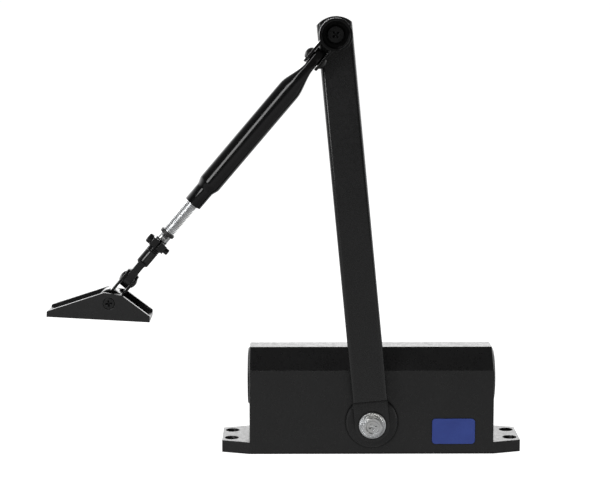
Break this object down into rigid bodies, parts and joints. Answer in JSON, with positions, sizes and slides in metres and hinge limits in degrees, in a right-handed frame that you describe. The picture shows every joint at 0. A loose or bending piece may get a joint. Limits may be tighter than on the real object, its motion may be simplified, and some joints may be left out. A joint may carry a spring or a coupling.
{
  "type": "door closer",
  "caption": "Overhead rack-and-pinion door closer: ridged cast body with end ears, flat main arm, length-adjustable tubular forearm and channel-shaped foot bracket.",
  "frame": {"origin": "centre of the four mounting holes, on the mounting face of the ears", "axes": "+X along the body towards the spring end, +Y from the arm side to the rear side, +Z out of the mounting face, through the body, so the part stands on its mounting face"},
  "size_m": [0.2711, 0.0777, 0.2542],
  "materials": {
    "casting_paint": "satin black enamel over cast metal",
    "arm_paint": "satin black enamel over steel bar",
    "tube_paint": "gloss black enamel over steel tube",
    "bracket_paint": "satin black enamel over pressed steel",
    "black_steel": "blackened steel",
    "zinc_steel": "bright zinc-plated steel",
    "machined_steel": "machined and oiled steel",
    "spring_steel": "oil-tempered spring wire",
    "piston_iron": "ground cast iron",
    "bearing_bronze": "sintered bronze",
    "seal_rubber": "nitrile rubber",
    "ring_plastic": "black moulded plastic",
    "badge_blue": "blue printed plastic"
  },
  "bodies": {
    "housing": {"body_casting": "casting_paint", "left_end_plug": "casting_paint", "right_end_plug": "casting_paint", "left_plug_seal": "seal_rubber", "right_plug_seal": "seal_rubber", "front_collar": "casting_paint", "front_shaft_seal": "seal_rubber", "front_bearing": "bearing_bronze", "rear_bearing": "bearing_bronze", "rear_cap": "casting_paint", "rear_cap_seal": "seal_rubber", "closing_valve_seal": "seal_rubber", "latching_valve_seal": "seal_rubber", "badge_plate": "badge_blue", "main_spring": "spring_steel"},
    "closing_valve": {"closing_valve_screw": "zinc_steel"},
    "latching_valve": {"latching_valve_screw": "zinc_steel"},
    "piston_group": {"piston": "piston_iron", "piston_ring": "ring_plastic", "check_ball_retainer": "machined_steel"},
    "check_valve_ball": {"check_ball": "machined_steel"},
    "arm_group": {"pinion_shaft": "machined_steel", "main_arm": "arm_paint", "arm_washer": "zinc_steel", "arm_screw": "zinc_steel", "elbow_stud": "black_steel", "elbow_washer": "black_steel"},
    "elbow_joint": {"elbow_knuckle": "tube_paint", "elbow_rivet": "black_steel"},
    "forearm": {"forearm_tube": "tube_paint"},
    "sleeve": {"rod_sleeve": "black_steel", "clamp_collar": "black_steel"},
    "rod": {"adjusting_rod": "zinc_steel", "rod_stop_ring": "ring_plastic"},
    "collar_screw": {"lock_screw": "black_steel"},
    "foot_joint": {"foot_knuckle": "tube_paint", "foot_bush": "ring_plastic", "foot_rivet": "black_steel"},
    "foot": {"foot_bracket": "bracket_paint", "foot_pivot_screw": "black_steel"}
  },
  "joints": [
    {"name": "arm_hinge", "type": "hinge", "parent": "housing", "child": "arm_group", "pos_m": [0, 0, 0.0193], "axis": [0, 1, 0], "range_deg": [0, 90], "stiffness_Nm_per_rad": 2.5, "springref_deg": -85.94},
    {"name": "piston_slide", "type": "slide", "parent": "housing", "child": "piston_group", "axis": [1, 0, 0], "range_m": [0, 0.01979], "deforming": ["main_spring"]},
    {"name": "check_ball_slide", "type": "slide", "parent": "piston_group", "child": "check_valve_ball", "axis": [-1, 0, 0], "range_m": [0, 0.0018]},
    {"name": "closing_valve_turn", "type": "hinge", "parent": "housing", "child": "closing_valve", "pos_m": [-0.07, -0.009, 0.015], "axis": [-1, 0, 0], "range_deg": [-360, 360]},
    {"name": "latching_valve_turn", "type": "hinge", "parent": "housing", "child": "latching_valve", "pos_m": [-0.07, 0.009, 0.015], "axis": [-1, 0, 0], "range_deg": [-360, 360]},
    {"name": "elbow_hinge", "type": "hinge", "parent": "arm_group", "child": "elbow_joint", "pos_m": [-0.02204, -0.043, 0.24412], "axis": [0, 1, 0], "range_deg": [-30, 130]},
    {"name": "elbow_tilt", "type": "hinge", "parent": "elbow_joint", "child": "forearm", "pos_m": [-0.03306, -0.043, 0.23118], "axis": [-0.7614, 0, 0.6483], "range_deg": [0, 12]},
    {"name": "forearm_length", "type": "slide", "parent": "forearm", "child": "sleeve", "axis": [-0.6483, 0, -0.7614], "range_m": [-0.01, 0.04]},
    {"name": "rod_turn", "type": "hinge", "parent": "sleeve", "child": "rod", "pos_m": [-0.11799, -0.043, 0.13143], "axis": [-0.6483, 0, -0.7614], "range_deg": [-3600, 14400]},
    {"name": "lock_screw_turn", "type": "hinge", "parent": "sleeve", "child": "collar_screw", "pos_m": [-0.12116, -0.0494, 0.1277], "axis": [0.7614, 0, -0.6483], "range_deg": [-360, 360]},
    {"name": "foot_tilt", "type": "hinge", "parent": "sleeve", "child": "foot_joint", "pos_m": [-0.1386, -0.043, 0.10722], "axis": [-0.7614, 0, 0.6483], "range_deg": [-10, 10]},
    {"name": "foot_hinge", "type": "hinge", "parent": "foot_joint", "child": "foot", "pos_m": [-0.14871, -0.043, 0.09534], "axis": [0, 1, 0], "range_deg": [-30, 105]}
  ],
  "couplings": [
    {"joint": "piston_slide", "follows": "arm_hinge", "m_per_rad": 0.0126},
    {"joint": "rod_turn", "follows": "forearm_length", "rad_per_m": 6283.2}
  ]
}
